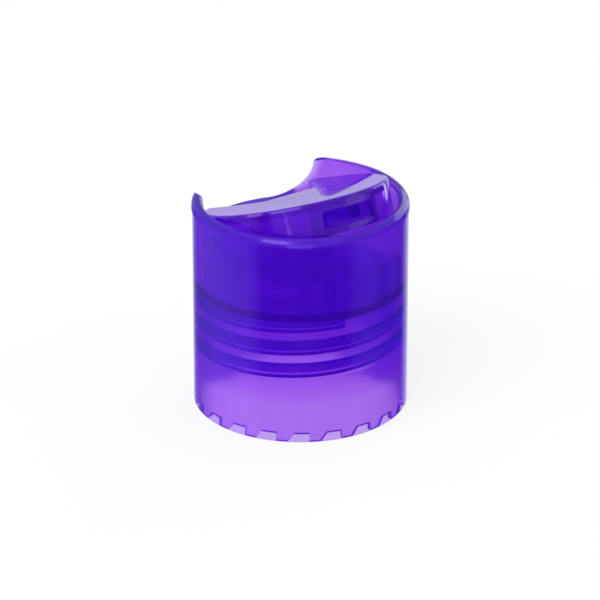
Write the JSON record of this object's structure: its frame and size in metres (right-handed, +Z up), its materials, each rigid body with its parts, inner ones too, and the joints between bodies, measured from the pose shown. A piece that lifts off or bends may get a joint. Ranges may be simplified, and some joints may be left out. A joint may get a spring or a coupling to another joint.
{
  "type": "disc top cap",
  "caption": "Press-top dispensing cap for a 24 mm screw neck: a round cap with a rocking disc that lifts its spout when its rear is pressed.",
  "frame": {"origin": "centre of the cap's open lower end, on the cap's axis", "axes": "+Z up along the cap's axis, towards the disc; the spout looks along -Y; the disc's pivot lies along X"},
  "size_m": [0.0282, 0.0281, 0.0323],
  "materials": {
    "cap_plastic": "translucent purple, glossy",
    "disc_plastic": "translucent purple, glossy"
  },
  "bodies": {
    "cap": {"cap_body": "cap_plastic"},
    "rocking_disc": {"disc": "disc_plastic"}
  },
  "joints": [
    {"name": "disc_tilt", "type": "hinge", "parent": "cap", "child": "rocking_disc", "pos_m": [0, 0.001, 0.02482], "axis": [1, 0, 0], "range_deg": [0, 19.5]}
  ]
}
